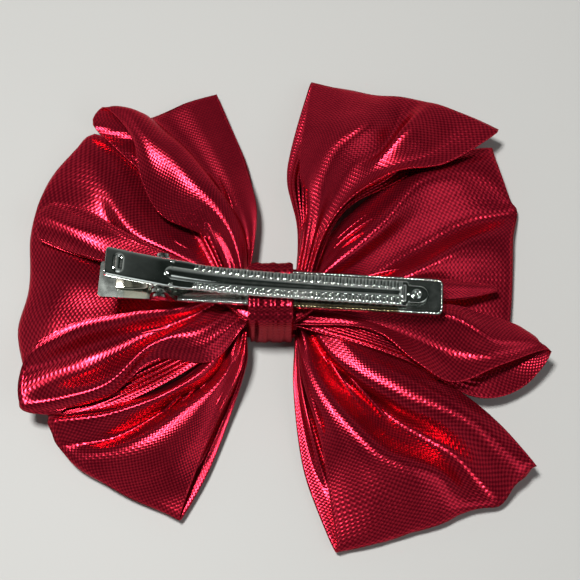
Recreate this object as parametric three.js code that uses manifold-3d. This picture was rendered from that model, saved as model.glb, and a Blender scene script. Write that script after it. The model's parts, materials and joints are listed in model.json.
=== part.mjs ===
// A satin hair bow on a toothed alligator clip, lying on its front with the clip on top.
//
// Millimetres, +Z up. Each ribbon strip is a ring of 50 mm satin pinched in the middle, so it makes
// two loops. The strips are stacked, fanned out, tied with thread and wrapped in a narrow centre band,
// which also runs over the clip's base plate. Shapes are drawn around the middle of the knot, with
// z = 0 where the bow lies, and the whole bow is then moved so that its box is centred on the origin.

import * as THREE from 'three';
import { mergeVertices } from 'three/addons/utils/BufferGeometryUtils.js';
import Module from 'manifold-3d';

const wasm = await Module();
wasm.setup();

// ---------------------------------------------------------------- driving dimensions

const GAP = 0.3;                    // clearance between touching pieces

const CLOTH = 0.5;                  // thickness of the ribbon, drawn about twice as thick as it is
const LAYER = 1.3;                  // height of one gathered layer of ribbon in the knot
const WAIST_HALF_WIDTH = 6.0;       // half the width that the 50 mm ribbon is gathered to
const WAIST_HALF_LENGTH = 5.6;      // half the length of the knot, along the clip
const KNOT_BOTTOM = 2.0;            // underside of the lowest gathered layer

const CLIP_TURN = -3.3;             // degrees that the clip is turned on the bow
const CLIP_OFFSET = 0.3;            // the clip's middle sits this far above the knot's middle
const PLATE_LENGTH = 76;
const PLATE_WIDTH = 8.3;
const SHEET = 0.8;                  // steel sheet of the clip
const LEVER_WIDTH = 6.4;
const PIN_RADIUS = 0.9;
const PIN_X = -23.9;                // hinge pin, along the clip from its middle
const PIN_RISE = 3.4;               // and above the base plate
const TIP_FROM = 35;                // the base plate is coined a little thinner from here to its tip
const TIP_STEP = 0.15;

const BAND_WIDTH = 9.6;
const BAND_CLOTH = 0.5;
const THREAD = 0.5;

// Heights worked out from the stack of layers, from the lowest strip to the clip.
const STRIP_COUNT = 5;
const KNOT_TOP = KNOT_BOTTOM + 2 * STRIP_COUNT * LAYER;
const THREAD_TOP = KNOT_TOP + THREAD + GAP;
const GLUE_HEIGHT = 1.0;
const GLUE_BOTTOM = THREAD_TOP + GAP;
const PLATE_BOTTOM = GLUE_BOTTOM + GLUE_HEIGHT + GAP;
const PLATE_TOP = PLATE_BOTTOM + SHEET;
const PIN_Z = PLATE_TOP + PIN_RISE;

// ---------------------------------------------------------------- materials

const material = (color, roughness, metalness) =>
  new THREE.MeshStandardMaterial({ color, roughness, metalness, side: THREE.DoubleSide });

const satin = material(0xa30d28, 0.35, 0);
const bandSatin = material(0x8c0a22, 0.45, 0);
const chrome = material(0xc9ccce, 0.15, 1);
const spring = material(0xb9bcb8, 0.25, 1);
const thread = material(0x7a0c1e, 0.8, 0);
const glue = material(0xcfc7a4, 0.5, 0);

const model = new THREE.Group();
const clip = new THREE.Group();
clip.position.set(0, CLIP_OFFSET, 0);
clip.rotation.z = THREE.MathUtils.degToRad(CLIP_TURN);
model.add(clip);

function addMesh(parent, name, geometry, meshMaterial) {
  const mesh = new THREE.Mesh(geometry, meshMaterial);
  mesh.name = name;
  parent.add(mesh);
  return mesh;
}

// ---------------------------------------------------------------- solids and booleans

function toManifold(geometry) {
  const bare = geometry.clone();
  bare.deleteAttribute('normal');
  bare.deleteAttribute('uv');
  const merged = mergeVertices(bare, 1e-4);
  return new wasm.Manifold(new wasm.Mesh({
    numProp: 3,
    vertProperties: Float32Array.from(merged.attributes.position.array),
    triVerts: Uint32Array.from(merged.index.array),
  }));
}

function fromManifold(solid) {
  const mesh = solid.getMesh();
  const geometry = new THREE.BufferGeometry();
  geometry.setAttribute('position', new THREE.BufferAttribute(mesh.vertProperties.slice(), 3));
  geometry.setIndex(new THREE.BufferAttribute(mesh.triVerts.slice(), 1));
  return geometry;
}

function box(length, width, height, x, y, z) {
  return toManifold(new THREE.BoxGeometry(length, width, height).translate(x, y, z));
}

// A shape drawn in X and Z, given a thickness along Y and centred on y.
function slabAlongY(shape, thickness, y, curveSegments = 8) {
  const options = { depth: thickness, bevelEnabled: false, curveSegments };
  const geometry = new THREE.ExtrudeGeometry(shape, options);
  geometry.rotateX(Math.PI / 2);
  geometry.translate(0, y + thickness / 2, 0);
  return geometry;
}

// A shape drawn in Y (across) and Z (up), given a length along X and centred on x = 0.
function slabAlongX(shape, length, curveSegments = 8) {
  const options = { depth: length, bevelEnabled: false, curveSegments };
  const geometry = new THREE.ExtrudeGeometry(shape, options);
  geometry.rotateX(Math.PI / 2);
  geometry.rotateZ(Math.PI / 2);
  geometry.translate(-length / 2, 0, 0);
  return geometry;
}

// A shape drawn in X and Y, given a height from z upwards.
function slabUp(shape, height, z, curveSegments = 6) {
  const options = { depth: height, bevelEnabled: false, curveSegments };
  return new THREE.ExtrudeGeometry(shape, options).translate(0, 0, z);
}

function cylinderAlongY(radius, length, x, y, z, segments = 20) {
  return new THREE.CylinderGeometry(radius, radius, length, segments).translate(x, y, z);
}

// ---------------------------------------------------------------- ribbon strips

// Every loop is drawn by its two selvedges, a and b. Each selvedge is a list of points [x, y, z]
// that runs from the knot along the near (upper) layer to the outer fold, and back to the knot
// along the far (lower) layer. `fold` is the index of the point at the outer fold, and `puff` is
// how far the near layer rises between its selvedges.
const LOOPS = {
  left: {
    a: [[-17, 18, 4], [-30.5, 30.5, 4], [-44.5, 45.5, 3], [-30.5, 31, 0.7], [-16, 18.5, 1.5]],
    b: [[-18.5, -2, 4.5], [-37, -8.5, 4], [-56.5, -14.5, 3], [-37.5, -7.5, 0.7], [-19, -1, 1.5]],
    fold: 2, puff: 0.5, bulge: 5,
  },
  right: {
    a: [[15, 20.5, 4], [33, 36, 4], [53, 42, 3.5], [33.5, 36, 0.7], [15, 20.5, 1.5]],
    b: [[18, -0.5, 4.5], [36.5, -3, 4.5], [55.5, -4.5, 3], [37, -2, 0.7], [18, 0.5, 1.5]],
    fold: 2, puff: 0.5, bulge: 2,
  },
  upperLeft: {
    a: [[-20, 15, 8.4], [-30, 28.5, 12], [-39.5, 50, 9], [-38, 37.5, 6.5], [-21.5, 18.5, 5.8]],
    b: [[-3.5, 25, 7], [-8, 40.5, 5], [-14, 57, 3], [-7.5, 41, 3], [-3, 24, 5]],
    fold: 2, puff: 2, bulge: -2,
  },
  lowerRight: {
    a: [[7.5, -22, 8], [12, -37, 7], [14.5, -55, 3], [7.5, -39, 2.5], [5.5, -23, 4]],
    b: [[23.5, -9, 6.8], [41.5, -18.5, 5.5], [58.5, -37, 6], [40.5, -17.5, 3.5], [22.5, -8.5, 5.2]],
    fold: 2, puff: 2, bulge: 4,
  },
  lowerLeft: {
    a: [[-16, -11, 9.2], [-31.5, -19.5, 7], [-49.5, -26, 6], [-32, -19, 4.5], [-16, -11.5, 8.1]],
    b: [[-8.5, -16.5, 9], [-13.5, -29.5, 8], [-20, -48.5, 3], [-11, -30.5, 4], [-7, -18.5, 6]],
    fold: 2, puff: 0.4, bulge: 2,
  },
  upperRight: {
    a: [[6.5, 19, 9.4], [6.5, 39, 8], [9.5, 60, 3], [4.5, 41, 4], [4.5, 21.5, 7]],
    b: [[17, 23.5, 9.8], [33.5, 32.5, 10.5], [54, 44, 8], [37.5, 36, 6.5], [18.5, 23.5, 8]],
    fold: 2, puff: 0.6, bulge: 4,
  },
  topLeft: {
    a: [[-21.5, -3, 12.4], [-38, -5, 13.5], [-53, -10.5, 11], [-38.5, -4.5, 10], [-21.5, -2, 10.9]],
    b: [[-15.5, -14, 12.5], [-32, -20, 12], [-50.5, -25.5, 8.5], [-38, -23.5, 8.5], [-16, -14, 11]],
    fold: 2, puff: 0, bulge: 5,
  },
  topRight: {
    a: [[22, -1, 12.5], [40, -1.5, 12], [56.5, -5.5, 8], [40.5, -0.5, 9], [22.5, -0.5, 11]],
    b: [[25.5, -9.5, 12.5], [39, -20, 11.5], [50.5, -16, 11], [63.5, -11.5, 8], [53.5, -20, 5],
      [41, -19, 8.4], [29, -13, 10.4]],
    fold: 2, foldB: 3, puff: 0, bulge: 0,
  },
  innerLeft: {
    a: [[-18, 10, 14.3], [-45.5, 20, 10.5], [-52.5, 24.5, 8], [-45, 24.5, 7.5], [-18, 11, 12.9]],
    b: [[-18, 3, 14.3], [-45.5, 12.5, 9.5], [-55.5, 17, 7.5], [-46, 13.5, 7.5], [-18, 3, 12.9]],
    fold: 2, puff: 0, bulge: 1,
  },
  innerRight: {
    a: [[18, 7, 14.3], [40, 7, 11.5], [52, 6.5, 7.5], [40.5, 7, 9.8], [18, 7, 12.9]],
    b: [[18, 2, 14.3], [40.5, 0.5, 11.5], [51.5, 1.5, 7.5], [41, 1, 9.8], [18, 2, 12.9]],
    fold: 2, puff: 0, bulge: 1,
  },
};

// A point of a selvedge at s: 0 leaves the knot, 0.5 is the outer fold and 1 is back at the knot.
function selvedgePoint(curve, foldIndex, s) {
  const last = curve.points.length - 1;
  const atFold = foldIndex / last;
  const t = s < 0.5 ? 2 * s * atFold : atFold + (2 * s - 1) * (1 - atFold);
  return curve.getPoint(t);
}

// Rows of points for one loop, each row running from selvedge a to selvedge b. `side` is -1 on the
// left and 1 on the right, and `ySide` is the side of the knot that selvedge a starts from.
function loopRows({ a, b, fold, foldB = fold, puff, bulge }, side, ySide, nearZ, farZ, steps, across) {
  const knotPoint = (y, z) => new THREE.Vector3(side * WAIST_HALF_LENGTH, y, z);
  const selvedge = (points, y) => new THREE.CatmullRomCurve3([
    knotPoint(y, nearZ),
    ...points.map((p) => new THREE.Vector3(...p)),
    knotPoint(y, farZ),
  ], false, 'centripetal');
  const curveA = selvedge(a, ySide * WAIST_HALF_WIDTH);
  const curveB = selvedge(b, -ySide * WAIST_HALF_WIDTH);
  const foldA = new THREE.Vector3(...a[fold]);
  const foldSide = new THREE.Vector3(...b[foldB]).sub(foldA);
  const bulgeWay = new THREE.Vector3(-foldSide.y, foldSide.x, 0).normalize();
  const middle = foldSide.clone().multiplyScalar(0.5).add(foldA);
  if (bulgeWay.dot(middle) < 0) bulgeWay.negate();
  const rows = [];
  for (let i = 0; i <= steps; i++) {
    const s = i / steps;
    const pointA = selvedgePoint(curveA, fold + 1, s);
    const pointB = selvedgePoint(curveB, foldB + 1, s);
    const reach = Math.sin(Math.PI * s);
    const rise = s < 0.5 ? puff * Math.sin(2 * Math.PI * s) : 0;
    const row = [];
    for (let j = 0; j <= across; j++) {
      const v = j / across;
      const crown = 4 * v * (1 - v);
      const point = pointA.clone().lerp(pointB, v);
      point.addScaledVector(bulgeWay, bulge * crown * reach ** 4);
      point.z += rise * crown;
      row.push(point);
    }
    rows.push(row);
  }
  return rows;
}

// Gives a closed ring of rows a thickness. Every vertex moves half of it along its normal, both ways.
function thickenRing(rows, thickness) {
  const count = rows.length;
  const across = rows[0].length - 1;
  const at = (i, j) => rows[(i + count) % count][Math.min(Math.max(j, 0), across)];
  const positions = [];
  for (const side of [1, -1]) {
    for (let i = 0; i < count; i++) {
      for (let j = 0; j <= across; j++) {
        const along = at(i + 1, j).clone().sub(at(i - 1, j));
        const wide = at(i, j + 1).clone().sub(at(i, j - 1));
        const normal = along.cross(wide).normalize();
        const point = at(i, j).clone().addScaledVector(normal, side * thickness / 2);
        positions.push(point.x, point.y, point.z);
      }
    }
  }
  const sheet = count * (across + 1);
  const id = (layer, i, j) => layer * sheet + (i % count) * (across + 1) + j;
  const index = [];
  const quad = (p, q, r, s) => index.push(p, q, r, p, r, s);
  for (let i = 0; i < count; i++) {
    for (let j = 0; j < across; j++) {
      quad(id(0, i, j), id(0, i + 1, j), id(0, i + 1, j + 1), id(0, i, j + 1));
      quad(id(1, i, j), id(1, i, j + 1), id(1, i + 1, j + 1), id(1, i + 1, j));
    }
    quad(id(0, i, 0), id(1, i, 0), id(1, i + 1, 0), id(0, i + 1, 0));
    quad(id(0, i, across), id(0, i + 1, across), id(1, i + 1, across), id(1, i, across));
  }
  const geometry = new THREE.BufferGeometry();
  geometry.setAttribute('position', new THREE.Float32BufferAttribute(positions, 3));
  geometry.setIndex(index);
  return geometry;
}

// One strip: the left loop from its near layer round to its far layer, then the right loop back.
// `level` counts the strips upwards from the bottom of the knot.
function ribbonStrip(name, level, leftLoop, rightLoop, ySide) {
  const farZ = KNOT_BOTTOM + (2 * level + 0.5) * LAYER;
  const nearZ = farZ + LAYER;
  const steps = 14;
  const across = 5;
  const left = loopRows(leftLoop, -1, ySide.left, nearZ, farZ, steps, across);
  const right = loopRows(rightLoop, 1, ySide.right, nearZ, farZ, steps, across);
  addMesh(model, name, thickenRing([...left, ...right.reverse()], CLOTH), satin);
}

const SELVEDGE_A_UP = { left: 1, right: 1 };
const SELVEDGE_A_DOWN = { left: -1, right: -1 };

ribbonStrip('side_ribbon', 0, LOOPS.left, LOOPS.right, SELVEDGE_A_UP);
ribbonStrip('falling_ribbon', 1, LOOPS.upperLeft, LOOPS.lowerRight, SELVEDGE_A_DOWN);
ribbonStrip('rising_ribbon', 2, LOOPS.lowerLeft, LOOPS.upperRight, SELVEDGE_A_UP);
ribbonStrip('top_ribbon', 3, LOOPS.topLeft, LOOPS.topRight, SELVEDGE_A_UP);
ribbonStrip('inner_ribbon', 4, LOOPS.innerLeft, LOOPS.innerRight, SELVEDGE_A_UP);

// ---------------------------------------------------------------- thread, band and glue

// A ring that wraps the knot: an outline, and the same outline `thickness` further out.
function wrapRing(halfWidth, bottom, top, corner, thickness) {
  const rounded = (extra, PathType) => {
    const h = halfWidth + extra;
    const low = bottom - extra;
    const high = top + extra;
    const r = corner + extra;
    const path = new PathType();
    path.moveTo(-h + r, low);
    path.lineTo(h - r, low);
    path.absarc(h - r, low + r, r, -Math.PI / 2, 0, false);
    path.lineTo(h, high - r);
    path.absarc(h - r, high - r, r, 0, Math.PI / 2, false);
    path.lineTo(-h + r, high);
    path.absarc(-h + r, high - r, r, Math.PI / 2, Math.PI, false);
    path.lineTo(-h, low + r);
    path.absarc(-h + r, low + r, r, Math.PI, 1.5 * Math.PI, false);
    return path;
  };
  const shape = rounded(thickness, THREE.Shape);
  shape.holes.push(rounded(0, THREE.Path));
  return shape;
}

const THREAD_TURNS = 3;             // the thread goes round the knot side by side
const THREAD_CORNER = 0.7;
const threadHalf = WAIST_HALF_WIDTH + GAP;
const threadRing = wrapRing(threadHalf, KNOT_BOTTOM - GAP, KNOT_TOP + GAP, THREAD_CORNER, THREAD);
addMesh(model, 'tie_thread', slabAlongX(threadRing, THREAD_TURNS * THREAD, 4), thread);

// The band goes round the tied knot and over the clip's base plate, so its top is narrower.
function bandOutline(extra, PathType) {
  const corner = 1.5;               // rounding of the edges under the knot
  const room = 0.6;                 // the band stands off the plate's long edges by this
  const slope = 0.4;                // and leans out by this, on the thickness of the plate
  const side = WAIST_HALF_WIDTH + 2 * GAP + THREAD + extra;
  const bottom = KNOT_BOTTOM - 2 * GAP - THREAD - extra;
  const top = PLATE_TOP + GAP + extra;
  const plateSide = PLATE_WIDTH / 2 + GAP + room + extra;
  const shoulder = GLUE_BOTTOM + slope;
  const path = new PathType();
  path.moveTo(-side + corner, bottom);
  path.lineTo(side - corner, bottom);
  path.quadraticCurveTo(side, bottom, side, bottom + corner);
  path.lineTo(side, shoulder - SHEET);
  path.quadraticCurveTo(side, shoulder, plateSide + slope, top - room);
  path.lineTo(plateSide, top);
  path.lineTo(-plateSide, top);
  path.lineTo(-plateSide - slope, top - room);
  path.quadraticCurveTo(-side, shoulder, -side, shoulder - SHEET);
  path.lineTo(-side, bottom + corner);
  path.quadraticCurveTo(-side, bottom, -side + corner, bottom);
  return path;
}

const bandShape = bandOutline(BAND_CLOTH, THREE.Shape);
bandShape.holes.push(bandOutline(0, THREE.Path));
addMesh(model, 'centre_band', slabAlongX(bandShape, BAND_WIDTH, 5), bandSatin);

const GLUE_LENGTH = 20;
const GLUE_WIDTH = 5.5;
const glueBed = new THREE.BoxGeometry(GLUE_LENGTH, GLUE_WIDTH, GLUE_HEIGHT);
glueBed.translate(0, 0, GLUE_BOTTOM + GLUE_HEIGHT / 2);
addMesh(clip, 'glue_bed', glueBed, glue);

// ---------------------------------------------------------------- clip: base plate

// Seen from above: square at the thumb end, round at the tip and notched beside the ears.
function plateOutline() {
  const x = PLATE_LENGTH / 2;
  const y = PLATE_WIDTH / 2;
  const corner = 1.3;
  const bevel = 0.4;
  const notch = { from: PIN_X - 2.6, to: PIN_X + 3.6, y: y - SHEET - GAP };
  const shape = new THREE.Shape();
  shape.moveTo(-x, -y + bevel);
  shape.lineTo(-x + bevel, -y);
  shape.lineTo(notch.from, -y);
  shape.lineTo(notch.from, -notch.y);
  shape.lineTo(notch.to, -notch.y);
  shape.lineTo(notch.to, -y);
  shape.lineTo(x - corner, -y);
  shape.absarc(x - corner, -y + corner, corner, -Math.PI / 2, 0, false);
  shape.lineTo(x, y - corner);
  shape.absarc(x - corner, y - corner, corner, 0, Math.PI / 2, false);
  shape.lineTo(notch.to, y);
  shape.lineTo(notch.to, notch.y);
  shape.lineTo(notch.from, notch.y);
  shape.lineTo(notch.from, y);
  shape.lineTo(-x + bevel, y);
  shape.lineTo(-x, y - bevel);
  return shape;
}

// An ear in X and Z: a foot on the plate and a round head around the hinge pin, with its hole.
function earShape(footFrom, footTo, footZ, headRadius, holeRadius) {
  const shape = new THREE.Shape();
  shape.moveTo(footFrom, footZ);
  shape.lineTo(footTo, footZ);
  shape.lineTo(PIN_X + headRadius, PIN_Z);
  const hangs = footZ > PIN_Z;
  shape.absarc(PIN_X, PIN_Z, headRadius, 0, Math.PI, hangs);
  const hole = new THREE.Path();
  hole.absarc(PIN_X, PIN_Z, holeRadius, 0, 2 * Math.PI, !hangs);
  shape.holes.push(hole);
  return shape;
}

const BASE_EAR_Y = (PLATE_WIDTH - SHEET) / 2;
const BASE_EAR = { back: 2.4, front: 3.4, head: 1.9 };
const EAR_BEND = 1.6;               // width of the bend that joins an ear to the plate

function baseEar(y) {
  const hole = PIN_RADIUS + GAP;
  const shape = earShape(PIN_X - BASE_EAR.back, PIN_X + BASE_EAR.front, PLATE_BOTTOM, BASE_EAR.head, hole);
  const ear = toManifold(slabAlongY(shape, SHEET, y));
  const length = 2 * (BASE_EAR.back - SHEET / 8);
  const bendY = Math.sign(y) * (PLATE_WIDTH - EAR_BEND) / 2;
  return ear.add(box(length, EAR_BEND, SHEET, PIN_X + SHEET / 2, bendY, PLATE_BOTTOM + SHEET / 2));
}

const tipLength = PLATE_LENGTH / 2 - TIP_FROM;
const tipCoining = box(tipLength, 2 * PLATE_WIDTH, 2 * TIP_STEP, TIP_FROM + tipLength / 2, 0, PLATE_TOP);
const basePlate = toManifold(slabUp(plateOutline(), SHEET, PLATE_BOTTOM, 5))
  .add(baseEar(BASE_EAR_Y))
  .add(baseEar(-BASE_EAR_Y))
  .subtract(tipCoining);
addMesh(clip, 'base_plate', fromManifold(basePlate), chrome);

// ---------------------------------------------------------------- clip: upper jaw

// The underside of the upper jaw, from the thumb tab over the pin to the tip: [x, height over plate].
const JAW_LINE = new THREE.SplineCurve([
  [-34.7, 10.8], [-30, 8.6], [-24, 6.2], [-17, 4.1], [-10, 2.6], [0, 1.6], [12, 1.0], [24, 0.6],
  [34.5, 0.3],
].map(([x, z]) => new THREE.Vector2(x, PLATE_TOP + z)));

function jawSide() {
  const steps = 32;
  const under = JAW_LINE.getPoints(steps);
  const over = under.map((p, i) => {
    const tangent = JAW_LINE.getTangent(i / steps);
    return new THREE.Vector2(p.x - tangent.y * SHEET, p.y + tangent.x * SHEET);
  });
  return new THREE.Shape([...under, ...over.reverse()]);
}

// Seen from above, the jaw is straight along the thumb tab and narrows to a round tongue.
function jawPlan() {
  const tab = { from: -37.5, to: -20, y: LEVER_WIDTH / 2 };
  const jaw = { from: -14, to: 30, y: 2.9 };
  const tongue = { from: 30.6, to: 32.6, y: 2.0 };
  const plan = new THREE.Shape();
  plan.moveTo(tab.from, -tab.y);
  plan.lineTo(tab.to, -tab.y);
  plan.lineTo(jaw.from, -jaw.y);
  plan.lineTo(jaw.to, -jaw.y);
  plan.lineTo(tongue.from, -tongue.y);
  plan.lineTo(tongue.to, -tongue.y);
  plan.absarc(tongue.to, 0, tongue.y, -Math.PI / 2, Math.PI / 2, false);
  plan.lineTo(tongue.from, tongue.y);
  plan.lineTo(jaw.to, jaw.y);
  plan.lineTo(jaw.from, jaw.y);
  plan.lineTo(tab.to, tab.y);
  plan.lineTo(tab.from, tab.y);
  return plan;
}

const JAW_HEIGHT = 20;              // more than the thumb tab's height
const JAW_EAR = { back: 2.2, front: 3.2, head: 1.8, foot: 6.0 };
const JAW_EAR_Y = BASE_EAR_Y - SHEET - GAP;

function jawEar(y) {
  const hole = PIN_RADIUS + GAP;
  const footZ = PLATE_TOP + JAW_EAR.foot;
  const shape = earShape(PIN_X - JAW_EAR.back, PIN_X + JAW_EAR.front, footZ, JAW_EAR.head, hole);
  return toManifold(slabAlongY(shape, SHEET, y));
}

const upperJaw = toManifold(slabAlongY(jawSide(), 2 * LEVER_WIDTH, 0))
  .intersect(toManifold(slabUp(jawPlan(), JAW_HEIGHT, PLATE_TOP)))
  .add(jawEar(JAW_EAR_Y))
  .add(jawEar(-JAW_EAR_Y));
addMesh(clip, 'upper_jaw', fromManifold(upperJaw), chrome);

// ---------------------------------------------------------------- clip: hinge pin and leaf spring

const PIN_HEAD = 0.6;               // a head's thickness, and how far it stands out round the pin
const PIN_LENGTH = PLATE_WIDTH + 2 * GAP + PIN_HEAD;
let pin = toManifold(cylinderAlongY(PIN_RADIUS, PIN_LENGTH, PIN_X, 0, PIN_Z));
for (const side of [1, -1]) {
  const head = cylinderAlongY(PIN_RADIUS + PIN_HEAD, PIN_HEAD, PIN_X, side * PIN_LENGTH / 2, PIN_Z);
  pin = pin.add(toManifold(head));
}
addMesh(clip, 'hinge_pin', fromManifold(pin), chrome);

const LEAF = 0.4;
const LEAF_WIDTH = 4.6;

// A bent leaf: the lower leg lies on the base plate, the bend faces the pin and the upper leg
// pushes the thumb tab up. Its middle line is [x, height over plate].
function springSide() {
  const line = new THREE.SplineCurve([
    [-33.5, 0.5], [-30, 0.9], [-27.2, 1.7], [-26.4, 3.2], [-27.4, 4.8], [-30.2, 6.6], [-33.4, 8.4],
  ].map(([x, z]) => new THREE.Vector2(x, PLATE_TOP + z)));
  const steps = 20;
  const edge = (side) => line.getPoints(steps).map((p, i) => {
    const tangent = line.getTangent(i / steps);
    const half = side * LEAF / 2;
    return new THREE.Vector2(p.x - tangent.y * half, p.y + tangent.x * half);
  });
  return new THREE.Shape([...edge(-1), ...edge(1).reverse()]);
}
addMesh(clip, 'leaf_spring', slabAlongY(springSide(), LEAF_WIDTH, 0), spring);

// ---------------------------------------------------------------- origin under the middle of the bow

model.updateMatrixWorld(true);
const bounds = new THREE.Box3().setFromObject(model, true);
const centre = bounds.getCenter(new THREE.Vector3());
model.position.set(-centre.x, -centre.y, -bounds.min.z);

export default model;
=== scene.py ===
"""The looks of the hair bow on its alligator clip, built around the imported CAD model."""
import json
import math

import bpy
import numpy as np
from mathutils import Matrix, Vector


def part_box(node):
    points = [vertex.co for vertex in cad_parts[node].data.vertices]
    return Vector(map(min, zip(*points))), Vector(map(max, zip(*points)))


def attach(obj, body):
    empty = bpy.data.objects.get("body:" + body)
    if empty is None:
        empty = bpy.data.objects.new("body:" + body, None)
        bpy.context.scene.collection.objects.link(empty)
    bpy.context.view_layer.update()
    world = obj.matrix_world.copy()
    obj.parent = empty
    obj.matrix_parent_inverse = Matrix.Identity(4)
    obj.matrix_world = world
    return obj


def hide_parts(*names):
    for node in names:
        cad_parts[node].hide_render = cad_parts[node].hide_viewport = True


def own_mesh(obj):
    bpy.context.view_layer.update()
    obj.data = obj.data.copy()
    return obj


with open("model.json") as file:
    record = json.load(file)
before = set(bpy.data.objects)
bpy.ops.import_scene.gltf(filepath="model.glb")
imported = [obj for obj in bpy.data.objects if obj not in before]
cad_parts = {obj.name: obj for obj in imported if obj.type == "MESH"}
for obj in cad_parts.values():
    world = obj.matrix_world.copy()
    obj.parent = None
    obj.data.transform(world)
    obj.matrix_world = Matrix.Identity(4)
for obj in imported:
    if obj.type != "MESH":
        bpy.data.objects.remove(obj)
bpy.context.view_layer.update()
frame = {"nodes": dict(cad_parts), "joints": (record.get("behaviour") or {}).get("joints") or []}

MM = 0.001

# ------------------------------------------------------------------ places taken from the frame

band_low, band_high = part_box("centre_band")
glue_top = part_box("glue_bed")[1].z / MM
KNOT = (band_low + band_high) / 2 / MM        # the knot's middle, in mm
KNOT_HALF = 5.6                               # half the knot's length along X, in mm
WAIST_HALF = 6.0                              # half the width of the gathered ribbon
JAW = frame["joints"][0]
HINGE = Vector(JAW["pos_m"]) / MM
CLIP_DIRECTION = Vector((-JAW["axis"][1], JAW["axis"][0], 0)).normalized()
CLIP_ACROSS = Vector((-CLIP_DIRECTION.y, CLIP_DIRECTION.x, 0))
SHEET = 0.8                                   # steel of the clip
GAP = 0.3                                     # between pieces that touch
PLATE_TOP = glue_top + GAP + SHEET
HINGE_X = -23.9                               # the hinge, along the clip from its middle
CLIP_MIDDLE = HINGE - HINGE_X * CLIP_DIRECTION


# ------------------------------------------------------------------ small helpers

def new_object(name, vertices, faces, material, smooth=True):
    """A mesh object from vertices in millimetres."""
    mesh = bpy.data.meshes.new(name)
    mesh.from_pydata([tuple(c * MM for c in v) for v in vertices], [], faces)
    mesh.validate()
    obj = bpy.data.objects.new(name, mesh)
    bpy.context.scene.collection.objects.link(obj)
    obj.data.materials.append(material)
    if smooth:
        obj.data.polygons.foreach_set("use_smooth", [True] * len(mesh.polygons))
    return obj


def spline(points, count):
    """`count` points on a centripetal Catmull-Rom curve through `points`, evenly spaced along it.
    `points` has the curve's points on its first axis and may hold many curves side by side."""
    p = np.asarray(points, float)
    p = np.concatenate([2 * p[:1] - p[1:2], p, 2 * p[-1:] - p[-2:-1]])
    steps = np.linalg.norm(np.diff(p, axis=0), axis=-1) ** 0.5
    steps = np.maximum(steps, 1e-3)
    dense = []
    sub = 24
    for i in range(1, len(p) - 2):
        p0, p1, p2, p3 = p[i - 1], p[i], p[i + 1], p[i + 2]
        d0, d1, d2 = (steps[i - 1 + k][..., None] for k in range(3))
        m1 = d1 * ((p1 - p0) / d0 - (p2 - p0) / (d0 + d1) + (p2 - p1) / d1)
        m2 = d1 * ((p2 - p1) / d1 - (p3 - p1) / (d1 + d2) + (p3 - p2) / d2)
        for t in np.arange(sub) / sub:
            h = (2 * t**3 - 3 * t**2 + 1, t**3 - 2 * t**2 + t, -2 * t**3 + 3 * t**2, t**3 - t**2)
            dense.append(h[0] * p1 + h[1] * m1 + h[2] * p2 + h[3] * m2)
    dense.append(p[-2])
    dense = np.array(dense)
    flat = dense.reshape(len(dense), -1, 3)
    out = np.empty((count, flat.shape[1], 3))
    for k in range(flat.shape[1]):
        run = np.concatenate([[0], np.cumsum(np.linalg.norm(np.diff(flat[:, k], axis=0), axis=1))])
        at = np.linspace(0, run[-1], count)
        for c in range(3):
            out[:, k, c] = np.interp(at, run, flat[:, k, c])
    return out.reshape((count,) + dense.shape[1:])


# ------------------------------------------------------------------ ribbon loops

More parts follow.
